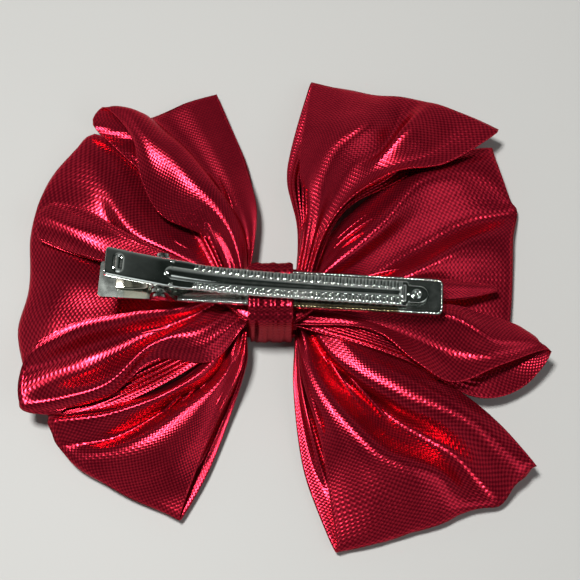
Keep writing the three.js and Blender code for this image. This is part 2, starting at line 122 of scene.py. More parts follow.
# Every loop is drawn by rails in millimetres from the knot's middle, with heights over the table.
# `near` holds the rails of the layer that faces the clip, from selvedge a to selvedge b. Each runs
# from the knot to the outer fold. `far` holds the two selvedges of the layer underneath, from the
# fold back to the knot, and what lies between them follows the shape of the fold.
# These points are not worked out from the frame. They were traced from the photograph and turned into
# millimetres by a separate program, so this table is not an example to follow.
LOOPS = {
    "upper_left": {
        "near": [
            [(-14, 15, 8.5), (-26, 21.5, 9.5), (-30.5, 30, 11.5), (-32.5, 39, 12.5), (-40.5, 49.5, 9)],
            [(-11.5, 16, 10), (-21, 25, 12.5), (-27, 32, 13.5), (-30.5, 37.5, 13.8), (-37.5, 49, 10.5)],
            [(-9, 16.5, 11), (-16.5, 27, 13.5), (-23, 34.5, 14), (-28, 40, 13.8), (-34.5, 48.5, 10.5)],
            [(-7, 17.5, 10), (-13, 27.5, 11.5), (-18.5, 35.5, 11.5),
             (-24.5, 41.5, 11), (-31.5, 48, 8.5)],
            [(-6.5, 18.5, 7), (-13.5, 30.5, 5.5), (-19, 38.5, 4.6), (-24, 44, 4.3), (-29.5, 49.5, 3.4)],
            [(-5.5, 19.5, 6.4), (-10, 33, 5), (-14.5, 42, 4), (-17.5, 48.5, 3.4), (-21, 54.5, 2.8)],
            [(-3.5, 23.5, 6), (-6, 35, 4.4), (-8.5, 43, 3.5), (-11.5, 50, 3), (-14, 57, 2.5)],
        ],
        "far": [
            [(-43.5, 47.5, 5), (-37, 40, 5.2), (-23, 25.5, 5.6)],
            [(-10, 47.5, 2), (-6, 37, 2), (-4, 24, 3.6)],
        ],
    },
    "lower_right": {
        "near": [
            [(7, -17, 7.8), (11, -31.5, 7.6), (13, -44.5, 5.6), (14.5, -55.5, 2.2)],
            [(9, -19.5, 9.6), (16, -32, 10.2), (24, -43.5, 7.2), (25, -53, 2.2)],
            [(10.5, -18, 9.8), (24, -34.5, 10.8), (37, -40.5, 8.2), (36.5, -49.5, 2.6)],
            [(12, -16, 7), (27, -30, 5.4), (38.5, -36, 5), (47, -46, 3)],
            [(13.5, -14, 5.4), (27.5, -25.5, 4.6), (40, -33.5, 4.4), (50.5, -45, 3)],
            [(14.5, -13.5, 9.6), (28.5, -23.5, 10), (42, -29.5, 9), (54, -41, 4.8)],
            [(18, -11.5, 10.2), (32.5, -20.5, 10.8), (45, -28, 9.8), (56, -39, 5.6)],
            [(23.5, -9.5, 7), (37.5, -17, 7), (49, -26.5, 7.4), (58.5, -37, 5.8)],
        ],
        "far": [
            [(10, -45.5, 2), (7, -36, 2.2), (5, -18, 4)],
            [(50.5, -26, 3), (38, -16.5, 3.3), (22.5, -9, 4.8)],
        ],
    },
    "upper_right": {
        "near": [
            [(7.5, 21.5, 9.2), (6.5, 35.5, 8.8), (8, 49, 6), (9.5, 60, 2.6)],
            [(8.5, 19, 10.8), (9.5, 33, 10.4), (14, 44.5, 9), (16.5, 58, 2.8)],
            [(10, 17.5, 10.8), (15, 37, 10.8), (23.5, 45, 10.6), (24.5, 55.5, 4.2)],
            [(11, 18, 9.6), (18.5, 33, 8.8), (26, 38.5, 8), (33, 54, 5.6)],
            [(12, 18.5, 9.4), (23.5, 32.5, 9.2), (32, 43.5, 11.2), (39.5, 52, 6.4)],
            [(13, 19, 9.6), (26.5, 32, 10), (39, 38.5, 9.2), (47.5, 48.5, 7)],
            [(14, 20, 10.6), (28, 31.5, 11), (41, 34.5, 9.6), (54.5, 44.5, 7.4)],
        ],
        "far": [
            [(4.5, 41.5, 2.5), (3.5, 33, 3.5), (6, 19, 6)],
            [(42.5, 40, 5), (30.5, 32, 5.5), (17, 23.5, 6.5)],
        ],
    },
    "lower_left": {
        "near": [
            [(-15, -13, 8), (-25, -19.5, 6), (-37, -22.5, 4.8), (-50, -25, 4.6)],
            [(-13, -14.5, 11), (-21.5, -21, 10.5), (-36, -26, 9), (-49.5, -27, 6.8)],
            [(-12, -15.5, 9.5), (-21, -22, 8.4), (-35.5, -28.5, 7), (-48.5, -29.5, 5.8)],
            [(-12, -16, 7.6), (-21, -22.5, 6.2), (-35, -30.5, 5), (-48, -31.5, 4.4)],
            [(-10.5, -17.5, 10), (-19.5, -25.5, 9.4), (-31, -32.5, 7.8), (-44, -36, 3.4)],
            [(-9, -17.5, 9.2), (-16.5, -30.5, 8.2), (-25.5, -39, 6), (-33, -42.5, 2.6)],
            [(-6.5, -15, 8.6), (-11.5, -25.5, 7.8), (-16, -37, 5.6), (-20, -48.5, 2.6)],
        ],
        "far": [
            [(-39.5, -27, 3.2), (-27.5, -20.5, 3.8), (-15, -12.5, 6)],
            [(-14.5, -39, 2.2), (-9.5, -26, 3), (-5.5, -13, 6)],
        ],
    },
    "left": {
        "near": [
            [(-13.5, 17.5, 4.2), (-22.5, 30.5, 3.6), (-32, 41, 3.2), (-44, 45.5, 3)],
            [(-21.5, 12, 6.8), (-33.5, 18.5, 7.2), (-39.5, 31.5, 6.6), (-44.5, 44.5, 3.8)],
            [(-21.5, 12, 5.8), (-34, 17, 5.4), (-43, 28, 6), (-53, 34, 2.6)],
            [(-21.5, 11, 5.5), (-34.5, 15, 5), (-47, 24, 5.6), (-56, 27.5, 2.2)],
            [(-21, 9, 5.2), (-34, 10, 5), (-48.5, 13.5, 5.4), (-57, 19, 1.8)],
            [(-21, 5, 6.2), (-33.5, 5, 6), (-49.5, 5, 6), (-56.5, 5.5, 1.8)],
            [(-21, 1.5, 6.2), (-33.5, -0.5, 6), (-51, -3, 6), (-58.5, -4, 1.6)],
            [(-19.5, -2.5, 5.8), (-33, -8, 6), (-49.5, -13, 6), (-56.5, -14, 1.6)],
        ],
        "far": [
            [(-34.5, 41, 0.8), (-24.5, 30, 1), (-14, 18, 1.8)],
            [(-46.5, -10.5, 0.6), (-34, -6.5, 0.8), (-20, -1.5, 1.8)],
        ],
    },
    "right": {
        "near": [
            [(16, 21, 4.2), (28, 32, 4), (40.5, 39.5, 4), (53, 41.5, 3.5)],
            [(16.5, 11, 7.5), (26.5, 20, 8.5), (36, 32, 8), (54, 37.5, 4.2)],
            [(18.5, 10, 5), (31.5, 20, 5), (44, 28, 5), (57, 27, 3.6)],
            [(21.5, 7.5, 3.2), (33, 14.5, 2.4), (46, 22, 2.2), (58.5, 25.5, 2.2)],
            [(25, 5, 5.6), (36.5, 10, 7), (47, 15.5, 6.4), (56.5, 17.5, 3.4)],
            [(24.5, 2.5, 4.4), (36.5, 5, 4.4), (48, 6.5, 4.2), (56, 6.5, 2.8)],
            [(18, -0.5, 4.4), (32, -2.5, 4.2), (43, -4, 4), (55, -4, 2.8)],
        ],
        "far": [
            [(40.5, 41, 0.8), (28.5, 33.5, 1), (15, 21, 1.8)],
            [(43.5, -3, 0.8), (32, -1.5, 1), (18, 0, 1.8)],
        ],
    },
    "top_left": {
        "near": [
            [(-18, -2, 13.2), (-31.5, -4, 13.9), (-44, -6.5, 13.9), (-52.5, -11, 12.2)],
            [(-18, -3, 12.9), (-31, -5.5, 13.4), (-43, -8.5, 13.3), (-54, -13.5, 11.8)],
            [(-17.5, -4, 11.6), (-30.5, -8, 10.2), (-42.5, -11.5, 9), (-55.5, -17, 10.6)],
            [(-17.5, -5, 11.8), (-29, -10, 10.2), (-41, -15.5, 8.2), (-56, -21.5, 10)],
            [(-17, -7, 13.4), (-26.5, -11.5, 13.4), (-36.5, -20, 11), (-55.5, -24.5, 9.2)],
            [(-14, -10, 13.2), (-26.5, -13, 11.8), (-36, -22, 9), (-53, -25.5, 8.2)],
            [(-13, -14.5, 11), (-24.5, -14, 10.8), (-34, -20, 9.6), (-46.5, -25.5, 8)],
        ],
        "far": [
            [(-45, -6.5, 9), (-32, -4, 9.8), (-18, -2, 11)],
            [(-39.5, -25.5, 6.8), (-29, -21.5, 7.5), (-15.5, -14.5, 10.5)],
        ],
    },
    "top_right": {
        "near": [
            [(17.5, -1.5, 13), (30, -1.5, 12.6), (41.5, -1.5, 11.2),
             (49.5, -3.5, 10), (56.5, -5.5, 7.8)],
            [(19, -3, 13), (31, -3.5, 13), (41.5, -5.5, 13.4), (49, -9.5, 12.4), (60, -8.5, 8.4)],
            [(21, -5, 12), (31.5, -9, 10.6), (41, -12, 9.8), (50.5, -13, 10.2), (62, -10, 8)],
            [(23, -8, 12.8), (32, -15, 12.6), (40, -19.5, 11.4), (51.5, -15, 10.6), (63, -11, 7.8)],
        ],
        "far": [
            [(50, -3, 7), (38.5, -1, 8.4), (22.5, -1, 10.6)],
            [(57, -18.5, 4.8), (47, -21.5, 5.6), (29, -13.5, 9.8)],
        ],
    },
    "inner_left": {
        "near": [
            [(-18.5, 8, 13.7), (-35, 16, 10.6), (-46, 22, 8.6), (-52, 25.5, 7.4)],
            [(-18.5, 6.5, 13.8), (-36, 14.5, 10.6), (-47, 18.5, 10.2), (-55, 22.5, 7.8)],
            [(-18, 5.5, 13.8), (-36, 11.5, 10.4), (-47, 15, 9.4), (-55.5, 19, 7.6)],
            [(-18, 4, 13.7), (-34.5, 8.5, 9.8), (-46.5, 13, 7.6), (-55, 16.5, 6.8)],
        ],
        "far": [
            [(-45, 24.5, 6.8), (-33, 17, 8.6), (-18.5, 8.5, 12.5)],
            [(-47, 13, 6.6), (-34.5, 9, 8.6), (-18.5, 4.5, 12.5)],
        ],
    },
    "inner_right": {
        "near": [
            [(17.5, 4.5, 13.9), (32.5, 4.5, 12.2), (41.5, 4.5, 10.4), (51.5, 4.5, 7.6)],
            [(17.5, 3.5, 13.9), (32.5, 3, 12.3), (41.5, 3.5, 10.9), (52, 4, 7.5)],
            [(17.5, 2, 13.9), (32.5, 1.5, 12.2), (41.5, 2, 10.6), (52, 3.5, 7.4)],
            [(17.5, 1, 13.9), (32.5, 0, 12), (41.5, 0.5, 10.2), (51, 3, 7.4)],
        ],
        "far": [
            [(42, 5.5, 8.8), (32.5, 5.5, 10.2), (18, 5, 12.5)],
            [(41.5, 0.5, 8.8), (32.5, 0.5, 10.2), (17.5, 1.5, 12.5)],
        ],
    },
}

ROWS = 96                                     # rows of one loop, from the knot round and back
KNOT_STEPS = 8                                # rows from one loop to the other, inside the knot
ACROSS = 96                                   # columns from selvedge to selvedge
PLEATS, FAR_PLEATS = 4, 14                    # gathers across the knot, and in the far layer
PLEAT_DEPTH = 0.5                             # height of the gathers at the knot, in mm
PUCKER = 0.48                                 # how far the far layer's gathers fill the loop
RIBBON_WIDTH = 50.0
TOP_WIDTH = 22.0
INNER_WIDTH = 10.0
BAND_WIDTH = 10.0
RIBBON_CLOTH = 0.3                            # thickness of the ribbon
BAND_CLOTH = 0.5                              # thickness of the band in the CAD model
FLOOR_GAP = 0.25                              # the lowest cloth's middle is this far over the table
LAYER = 1.3                                   # height of one gathered layer in the knot
STACK_FROM = 1.6                              # the lowest layer's underside, over the band's
UV_SIZE = 100.0                               # one unit of the cloth's coordinates, in mm
WEAVE_PITCH = 1.0                             # length of one float of the weave
SELVEDGE = 0.45                               # width of the beaded edge
BEAD_PITCH = 0.8
PLATE_HALF_LENGTH = 38.0
PLATE_HALF_WIDTH = 4.15
TIP_FROM, TIP_STEP = 35.0, 0.15               # the plate's tip is this much lower


def loop_surface(loop, side, y_side, near_z, far_z, depth):
    """A loop as a grid: rows go from the knot round the fold and back, columns from a to b."""
    near = np.array(loop["near"], float)
    far_a, far_b = np.array(loop["far"], float)
    rails = len(near)
    widths = np.linalg.norm(np.diff(near, axis=0), axis=-1)[:, 1:].mean(axis=1)
    v = np.concatenate([[0], np.cumsum(widths)]) / widths.sum()
    fold = near[:, -1]
    knot_y = y_side * WAIST_HALF * (1 - 2 * v)
    start = np.stack([np.full(rails, side * KNOT_HALF), knot_y, np.full(rails, near_z)], axis=-1)
    end = np.stack([np.full(rails, side * KNOT_HALF), knot_y, np.full(rails, far_z)], axis=-1)
    straight = fold[0] + (fold[-1] - fold[0]) * v[:, None]
    far = []
    for a, b, share in zip(far_a, far_b, (0.75, 0.3, 0.05)):
        bow = (fold - straight) * share
        bow[:, 2] *= 0.3
        far.append(a + (b - a) * v[:, None] + bow)
    lines = np.concatenate([start[None], np.moveaxis(near, 1, 0), np.array(far), end[None]])
    along = spline(lines, ROWS)
    grid = np.moveaxis(spline(np.moveaxis(along, 1, 0), ACROSS), 0, 1)
    grid[..., 2] += depth * gathers(grid, side)
    return grid


def gathers(grid, side):
    """Heights of the gathers that radiate from the knot. They nest, as every strip has the same."""
    rows, columns, _ = grid.shape
    distance = np.hypot(grid[..., 0] - side * KNOT_HALF, grid[..., 1] * 0.8)
    t = np.linspace(-0.5, 0.5, columns)
    across = 2 * math.pi * t
    inside = 1 - smooth(0.36, 0.46, np.abs(t))
    s = np.linspace(0, 1, rows)[:, None]
    at_knot = np.sin(PLEATS * across) * np.exp(-(distance / 13.0) ** 2)
    room = np.maximum(grid[::-1, :, 2] - grid[..., 2], 0)
    fade = smooth(0.6, 0.8, s) * (1 - smooth(0.93, 0.99, s)) * np.exp(-((distance - 22.0) / 19.0) ** 2)
    return PLEAT_DEPTH * at_knot + PUCKER * room * (1 + np.sin(FAR_PLEATS * across)) * fade * inside


def smooth(low, high, x):
    t = np.clip((x - low) / (high - low), 0, 1)
    return t * t * (3 - 2 * t)


def ring_normals(grid):
    along = np.roll(grid, -1, axis=0) - np.roll(grid, 1, axis=0)
    normal = np.cross(along, np.gradient(grid, axis=1))
    return normal / np.maximum(np.linalg.norm(normal, axis=-1, keepdims=True), 1e-9)


def wrinkles(grid, amount, seed):
    """Small soft dents in the cloth, as a few seeded waves through space."""
    draw = np.random.default_rng(seed)
    waves = 7
    offset = np.zeros(grid.shape[:2])
    for _ in range(waves):
        direction = draw.normal(size=3)
        direction /= np.linalg.norm(direction)
        length = draw.uniform(7, 16)
        offset += np.sin(2 * math.pi * (grid @ direction) / length + draw.uniform(0, 2 * math.pi))
    return offset * amount / waves


def closed_ribbon(name, grid, normal, thickness, width, material, place):
    """A closed ring of ribbon from rows of points, with the cloth's own coordinates in mm."""
    rows, columns, _ = grid.shape
    outer = grid + normal * thickness / 2 + place
    inner = grid - normal * thickness / 2 + place
    vertices = np.concatenate([outer.reshape(-1, 3), inner.reshape(-1, 3)])
    sheet = rows * columns

    def at(layer, i, j):
        return layer * sheet + (i % rows) * columns + j

    faces = []
    last = columns - 1
    for i in range(rows):
        for j in range(last):
            faces.append((at(0, i, j), at(0, i + 1, j), at(0, i + 1, j + 1), at(0, i, j + 1)))
            faces.append((at(1, i, j), at(1, i, j + 1), at(1, i + 1, j + 1), at(1, i + 1, j)))
        faces.append((at(0, i, 0), at(1, i, 0), at(1, i + 1, 0), at(0, i + 1, 0)))
        faces.append((at(0, i, last), at(0, i + 1, last), at(1, i + 1, last), at(1, i, last)))
    obj = new_object(name, vertices, faces, material)
    middle = grid[:, columns // 2]
    steps = np.linalg.norm(np.roll(middle, -1, axis=0) - middle, axis=1)
    along = np.concatenate([[0], np.cumsum(steps)])
    corner = np.empty(len(obj.data.loops), int)
    obj.data.loops.foreach_get("vertex_index", corner)
    row, column = (corner % sheet) // columns, corner % columns
    by_face = row.reshape(-1, 4)
    closing = (by_face.max(axis=1) == rows - 1) & (by_face.min(axis=1) == 0)
    row = np.where(np.repeat(closing, 4) & (row == 0), rows, row)
    uv = np.stack([along[row], column / last * width], axis=-1) / UV_SIZE
    obj.data.uv_layers.new(name="cloth").data.foreach_set("uv", uv.astype(np.float32).ravel())
    return obj


def ribbon_strip(name, node, level, left, right, y_side, material, width):
    """One strip of ribbon: a ring with two loops, pinched in the knot."""
    far_z = band_low.z / MM + STACK_FROM + (2 * level + 0.5) * LAYER
    near_z = far_z + LAYER
    depth = width / RIBBON_WIDTH
    left_grid = loop_surface(left, -1, y_side, near_z, far_z, depth)
    right_grid = loop_surface(right, 1, y_side, near_z, far_z, depth)
    t = np.linspace(0, 1, KNOT_STEPS + 2)[1:-1, None, None]
    under = left_grid[-1] + (right_grid[-1] - left_grid[-1]) * t
    over = right_grid[0] + (left_grid[0] - right_grid[0]) * t
    grid = np.concatenate([left_grid, under, right_grid[::-1], over])
    grid += ring_normals(grid) * wrinkles(grid, 0.22, level)[..., None]
    grid[..., 2] = np.maximum(grid[..., 2], FLOOR_GAP)
    place = np.array([KNOT.x, KNOT.y, 0])
    obj = closed_ribbon(name, grid, ring_normals(grid), RIBBON_CLOTH, width, material, place)
    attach(obj, "bow")
    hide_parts(node)


# ------------------------------------------------------------------ materials

def new_material(name):
    material = bpy.data.materials.new(name)
    material.use_nodes = True
    nodes, links = material.node_tree.nodes, material.node_tree.links
    return material, nodes, links, nodes["Principled BSDF"]


def calculator(nodes, links):
    """A function that adds a math node: its inputs are numbers or other nodes' outputs."""
    def calculate(operation, *values):
        node = nodes.new("ShaderNodeMath")
        node.operation = operation
        for socket, value in zip(node.inputs, values):
            if isinstance(value, (int, float)):
                socket.default_value = value
            else:
                links.new(value, socket)
        return node.outputs[0]
    return calculate


def color_ramp(nodes, links, factor, stops):
    """A colour ramp through (position, colour) stops."""
    ramp = nodes.new("ShaderNodeValToRGB")
    elements = ramp.color_ramp.elements
    while len(elements) < len(stops):
        elements.new(0.5)
    for element, (position, color) in zip(elements, stops):
        element.position = position
        element.color = (*color, 1)
    links.new(factor, ramp.inputs["Fac"])
    return ramp.outputs["Color"]


def add_bump(nodes, links, shader, height, strength, distance):
    bump = nodes.new("ShaderNodeBump")
    bump.inputs["Strength"].default_value = strength
    bump.inputs["Distance"].default_value = distance
    links.new(height, bump.inputs["Height"])
    links.new(bump.outputs[0], shader.inputs["Normal"])


def noise_texture(nodes, links, vector, scale, detail=3):
    noise = nodes.new("ShaderNodeTexNoise")
    noise.inputs["Scale"].default_value = scale
    noise.inputs["Detail"].default_value = detail
    links.new(vector, noise.inputs["Vector"])
    return noise.outputs["Fac"]


def satin_material(name, width, light, dark):
    """Satin ribbon: a fine staggered weave, cross threads, a beaded selvedge with a painted glint, a
    stretched highlight.
    """
    material, nodes, links, shader = new_material(name)
    calculate = calculator(nodes, links)
    uv = nodes.new("ShaderNodeUVMap")
    uv.uv_map = "cloth"
    split = nodes.new("ShaderNodeSeparateXYZ")
    links.new(uv.outputs[0], split.inputs[0])
    along = calculate("MULTIPLY", split.outputs[0], UV_SIZE)
    across = calculate("MULTIPLY", split.outputs[1], UV_SIZE)
    rib = calculate("SINE", calculate("MULTIPLY", along, 2 * math.pi / WEAVE_PITCH))
    warp = calculate("SINE", calculate("MULTIPLY", across, 2 * math.pi / (1.3 * WEAVE_PITCH)))
    weave = calculate("MULTIPLY", rib, warp)
    # beads along both selvedges: a real bump, and a painted glint where they lighten the colour
    to_edge = calculate("MINIMUM", across, calculate("SUBTRACT", width, across))
    edge = calculate("LESS_THAN", to_edge, SELVEDGE)
    bead = calculate("SINE", calculate("MULTIPLY", along, 2 * math.pi / BEAD_PITCH))
    beads_and_painted_glints = calculate("MULTIPLY", edge, calculate("ADD", calculate("MULTIPLY", bead, 0.5), 0.5))
    where = nodes.new("ShaderNodeTexCoord")
    slow = noise_texture(nodes, links, where.outputs["Object"], 90)
    fine = noise_texture(nodes, links, where.outputs["Object"], 1500, 2)
    tone = calculate("ADD", calculate("MULTIPLY", weave, 0.42), calculate("MULTIPLY", slow, 0.6))
    tone = calculate("ADD", tone, calculate("MULTIPLY", fine, 0.4))
    # the beads lighten the base colour here, as a painted glint on the selvedge
    tone = calculate("ADD", tone, calculate("MULTIPLY", beads_and_painted_glints, 0.6))
    color = color_ramp(nodes, links, tone, [(0.25, dark), (0.85, light)])
    links.new(color, shader.inputs["Base Color"])
    height = calculate("ADD", weave, calculate("MULTIPLY", rib, 0.8))
    height = calculate("ADD", height, calculate("MULTIPLY", beads_and_painted_glints, 2.5))
    add_bump(nodes, links, shader, height, 0.5, 0.00003)
    tangent = nodes.new("ShaderNodeTangent")
    tangent.direction_type = "UV_MAP"
    tangent.uv_map = "cloth"
    links.new(tangent.outputs[0], shader.inputs["Tangent"])
    shader.inputs["Metallic"].default_value = 0.82
    shader.inputs["Roughness"].default_value = 0.25
    shader.inputs["Anisotropic"].default_value = 0.6
    shader.inputs["Specular IOR Level"].default_value = 0.7
    shader.inputs["Specular Tint"].default_value = (1.0, 0.35, 0.42, 1)
    return material


def metal_material(name, color, roughness):
    """Plated steel with faint cloudy changes of colour, gloss and bump."""
    material, nodes, links, shader = new_material(name)
    where = nodes.new("ShaderNodeTexCoord")
    cloudy = noise_texture(nodes, links, where.outputs["Object"], 420, 5)
    gloss = nodes.new("ShaderNodeMapRange")
    gloss.inputs["To Min"].default_value = roughness * 0.6
    gloss.inputs["To Max"].default_value = roughness * 1.6
    links.new(cloudy, gloss.inputs["Value"])
    links.new(gloss.outputs[0], shader.inputs["Roughness"])
    shade = tuple(c * 0.82 for c in color)
    links.new(color_ramp(nodes, links, cloudy, [(0.3, shade), (0.7, color)]),
              shader.inputs["Base Color"])
    add_bump(nodes, links, shader, cloudy, 0.15, 0.00004)
    shader.inputs["Metallic"].default_value = 1.0
    return material, nodes, links, shader


def plate_material(color, roughness):
    """The base plate's steel, with brown glue stains along the margin on its -Y side."""
    material, nodes, links, shader = metal_material("stained plate", color, roughness)
    calculate = calculator(nodes, links)
    clean = shader.inputs["Base Color"].links[0].from_socket
    where = nodes.new("ShaderNodeTexCoord")
    split = nodes.new("ShaderNodeSeparateXYZ")
    links.new(where.outputs["Object"], split.inputs[0])
    edge = CLIP_MIDDLE - CLIP_ACROSS * (PLATE_HALF_WIDTH - 0.5)
    lean = CLIP_DIRECTION.y / CLIP_DIRECTION.x
    line = calculate("ADD", calculate("MULTIPLY", split.outputs[0], lean),
                     (edge.y - lean * edge.x) * MM)
    off = calculate("ABSOLUTE", calculate("SUBTRACT", split.outputs[1], line))
    near_edge = calculate("SUBTRACT", 1.0, calculate("DIVIDE", off, 1.3 * MM))
    x_low, x_high = (CLIP_MIDDLE.x + 1) * MM, (CLIP_MIDDLE.x + 28) * MM
    inside = calculate("MULTIPLY", calculate("GREATER_THAN", split.outputs[0], x_low),
                       calculate("LESS_THAN", split.outputs[0], x_high))
    blotch = noise_texture(nodes, links, where.outputs["Object"], 900, 4)
    stain = calculate("MULTIPLY", calculate("MULTIPLY", near_edge, inside), blotch)
    amount = calculate("MULTIPLY", stain, 2.6)
    amount = calculate("MINIMUM", calculate("MAXIMUM", amount, 0.0), 0.9)
    mix = nodes.new("ShaderNodeMix")
    mix.data_type = "RGBA"
    links.new(amount, mix.inputs["Factor"])
    links.new(clean, mix.inputs["A"])
    mix.inputs["B"].default_value = (0.23, 0.17, 0.07, 1)
    links.new(mix.outputs["Result"], shader.inputs["Base Color"])
    return material


def glue_material():
    material, nodes, links, shader = new_material("hot glue")
    where = nodes.new("ShaderNodeTexCoord")
    cloudy = noise_texture(nodes, links, where.outputs["Object"], 500, 4)
    links.new(color_ramp(nodes, links, cloudy, [(0.3, (0.50, 0.40, 0.20)), (0.7, (0.72, 0.66, 0.50))]),
              shader.inputs["Base Color"])
    add_bump(nodes, links, shader, cloudy, 0.4, 0.0002)
    shader.inputs["Roughness"].default_value = 0.35
    return material


def thread_material():
    material, nodes, links, shader = new_material("sewing thread")
    where = nodes.new("ShaderNodeTexCoord")
    strands = nodes.new("ShaderNodeTexWave")
    strands.inputs["Scale"].default_value = 900
    strands.inputs["Distortion"].default_value = 2
    links.new(where.outputs["Object"], strands.inputs["Vector"])
    links.new(color_ramp(nodes, links, strands.outputs["Fac"],
                         [(0.2, (0.10, 0.003, 0.010)), (0.8, (0.30, 0.010, 0.030))]),
              shader.inputs["Base Color"])
    add_bump(nodes, links, shader, strands.outputs["Fac"], 0.5, 0.0001)
    shader.inputs["Roughness"].default_value = 0.7
    return material


SATIN_LIGHT = (0.62, 0.021, 0.048)
SATIN_DARK = (0.21, 0.004, 0.016)
satin = {width: satin_material(f"red satin {width:.0f} mm", width, SATIN_LIGHT, SATIN_DARK)
         for width in (RIBBON_WIDTH, TOP_WIDTH, INNER_WIDTH)}
band_satin = satin_material("band satin", BAND_WIDTH, (0.36, 0.010, 0.026), (0.14, 0.002, 0.010))
CHROME = (0.66, 0.71, 0.67)
chrome = metal_material("chrome plated steel", CHROME, 0.10)[0]
plate_steel = plate_material(CHROME, 0.12)
spring_steel = metal_material("spring steel", (0.86, 0.82, 0.70), 0.16)[0]

# ------------------------------------------------------------------ ribbon pieces

STRIPS = [
    ("side_strip", "side_ribbon", "left", "right", 1, RIBBON_WIDTH),
    ("falling_strip", "falling_ribbon", "upper_left", "lower_right", -1, RIBBON_WIDTH),
    ("rising_strip", "rising_ribbon", "lower_left", "upper_right", 1, RIBBON_WIDTH),
    ("top_strip", "top_ribbon", "top_left", "top_right", 1, TOP_WIDTH),
    ("inner_strip", "inner_ribbon", "inner_left", "inner_right", 1, INNER_WIDTH),
]
for level, (name, node, left, right, y_side, width) in enumerate(STRIPS):
    ribbon_strip(name, node, level, LOOPS[left], LOOPS[right], y_side, satin[width], width)


def band_outline():
    """The band's middle line in Y and Z, round the knot and over the base plate, bottom first."""
    side = (band_high.y - band_low.y) / 2 / MM - BAND_CLOTH / 2
    bottom = band_low.z / MM + BAND_CLOTH / 2
    top = band_high.z / MM - BAND_CLOTH / 2
    plate = PLATE_HALF_WIDTH + 0.6
    half = [(0, bottom), (0.6 * side, bottom + 0.15), (0.93 * side, bottom + 1.2), (side, bottom + 4),
            (side, 0.6 * top), (0.97 * side, 0.8 * top), (0.87 * side, 0.9 * top), (plate, top - 0.9),
            (plate - 0.3, top - 0.1), (0.5 * plate, top), (0, top)]
    other = [(-y, z) for y, z in reversed(half[1:-1])]
    return half + other


def centre_band():
    """A narrow satin band, with soft creases that run round the knot."""
    outline = band_outline()
    ring = np.array([(0, y, z) for y, z in outline + outline[:1]], float)
    around = 160
    path = spline(ring, around + 1)[:-1]
    tangent = np.roll(path, -1, axis=0) - np.roll(path, 1, axis=0)
    tangent /= np.linalg.norm(tangent, axis=1, keepdims=True)
    outward = np.stack([np.zeros(around), tangent[:, 2], -tangent[:, 1]], axis=1)
    across = 32
    t = np.linspace(-1, 1, across + 1)
    angle = np.linspace(0, 2 * math.pi, around, endpoint=False)[:, None]
    crease = 0.10 * np.sin(9 * t + 1.2 * np.sin(angle)) + 0.07 * np.sin(17 * t + 2.1 * np.sin(angle + 1))
    edge_curl = -0.14 * np.abs(t) ** 10
    half_width = (BAND_WIDTH / 2 - 0.15) * (1 - 0.03 * np.cos(angle))
    grid = path[:, None, :] + outward[:, None, :] * (crease + edge_curl)[..., None]
    grid[..., 0] = half_width * t
    place = np.array([KNOT.x, KNOT.y, 0])
    obj = closed_ribbon("centre_wrap", grid, outward[:, None, :] * np.ones((1, across + 1, 1)),
                        BAND_CLOTH * 0.6, BAND_WIDTH, band_satin, place)
    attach(obj, "bow")
    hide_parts("centre_band")


centre_band()

# ------------------------------------------------------------------ clip

def clip_point(x, y, z):
    """A point of the clip in the row frame: along it, across it, and up from the base plate."""
    return (CLIP_MIDDLE.x + CLIP_DIRECTION.x * x + CLIP_ACROSS.x * y,
            CLIP_MIDDLE.y + CLIP_DIRECTION.y * x + CLIP_ACROSS.y * y,
            PLATE_TOP + z)


TAB_END = -35.4                               # the thumb tab's end, along the clip
# The upper jaw's underside, from the thumb tab over the hinge to the tip: (x, height over plate).
JAW_LINE = [(TAB_END, 11.1), (-33, 10), (-30, 8.6), (-24, 6.2), (-17, 4.1), (-10, 2.6), (0, 1.6),
            (12, 1.0), (24, 0.6), (34.6, 0.3)]
TAB_HALF, JAW_HALF, TONGUE_HALF = 3.2, 2.9, 2.0
TEETH_FROM, TEETH_TO, TOOTH_PITCH = -17.0, 28.6, 1.5
BAR_X, DOT_X, RIVET_X = 29.4, 30.4, 32.1      # stampings near the tip
TONGUE_CENTRE = 32.6                          # centre of the tongue's round end
TAB_CORNER = 0.5
EAR_FOOT, EAR_FOOT_Z = (-2.2, 3.2), 6.0 + GAP  # the foot's two ends beside the pin, and its height
EAR_HEAD, EAR_Y = 1.8, 2.65                   # the ear's radius round the pin, and its place


def jaw_half_width(x):
    """Half the jaw's width: a straight tab, a slightly narrower jaw and a round tongue."""
    width = TAB_HALF + (JAW_HALF - TAB_HALF) * smooth(-20, -14, x)
    width = width + (TONGUE_HALF - width) * smooth(29.9, 30.5, x)
    past_centre = np.clip(x - TONGUE_CENTRE, 0, TONGUE_HALF)
    round_end = np.sqrt(np.clip(TONGUE_HALF**2 - past_centre**2, 1e-4, None))
    past_corner = np.clip(TAB_END + TAB_CORNER - x, 0, TAB_CORNER)
    bevel = np.sqrt(np.clip(TAB_CORNER**2 - past_corner**2, 0, None)) - TAB_CORNER
    return np.minimum(width, np.where(x > TONGUE_CENTRE, round_end, width)) + bevel


